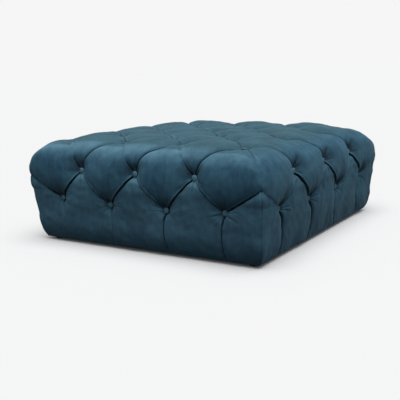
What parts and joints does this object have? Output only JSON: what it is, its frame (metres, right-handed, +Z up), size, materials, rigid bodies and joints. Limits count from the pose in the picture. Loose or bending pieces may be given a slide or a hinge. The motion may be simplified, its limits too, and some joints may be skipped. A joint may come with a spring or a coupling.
{
  "type": "ottoman coffee table",
  "caption": "Square low ottoman coffee table in button-tufted velvet, with crowned pads, pleats over the edges and hidden glides.",
  "frame": {"origin": "on the floor, below the middle of the ottoman", "axes": "+Z up, -Y the side with the front buttons, +X to its right; all four sides are alike"},
  "size_m": [1.049, 1.049, 0.389],
  "materials": {
    "velvet": "matte",
    "twine": "matte",
    "foam": "matte",
    "cambric": "matte",
    "glide_plastic": "satin",
    "screw_steel": "satin",
    "plywood": "matte",
    "timber": "matte"
  },
  "bodies": {
    "root": {"back_button_twine": "twine", "back_buttons": "velvet", "back_foam": "foam", "back_left_corner_block": "timber", "back_left_post": "timber", "back_panel": "plywood", "back_rail": "timber", "dust_cover": "cambric", "front_button_twine": "twine", "front_buttons": "velvet", "front_foam": "foam", "front_panel": "plywood", "front_rail": "timber", "front_right_corner_block": "timber", "front_right_post": "timber", "glide_screws": "screw_steel", "glides": "glide_plastic", "left_bearer": "timber", "left_button_twine": "twine", "left_buttons": "velvet", "left_foam": "foam", "left_front_corner_block": "timber", "left_front_post": "timber", "left_panel": "plywood", "left_rail": "timber", "right_back_corner_block": "timber", "right_back_post": "timber", "right_bearer": "timber", "right_button_twine": "twine", "right_buttons": "velvet", "right_foam": "foam", "right_panel": "plywood", "right_rail": "timber", "seat_foam": "foam", "top_button_twine": "twine", "top_buttons": "velvet", "top_deck": "plywood", "tufted_cover": "velvet"}
  },
  "joints": []
}
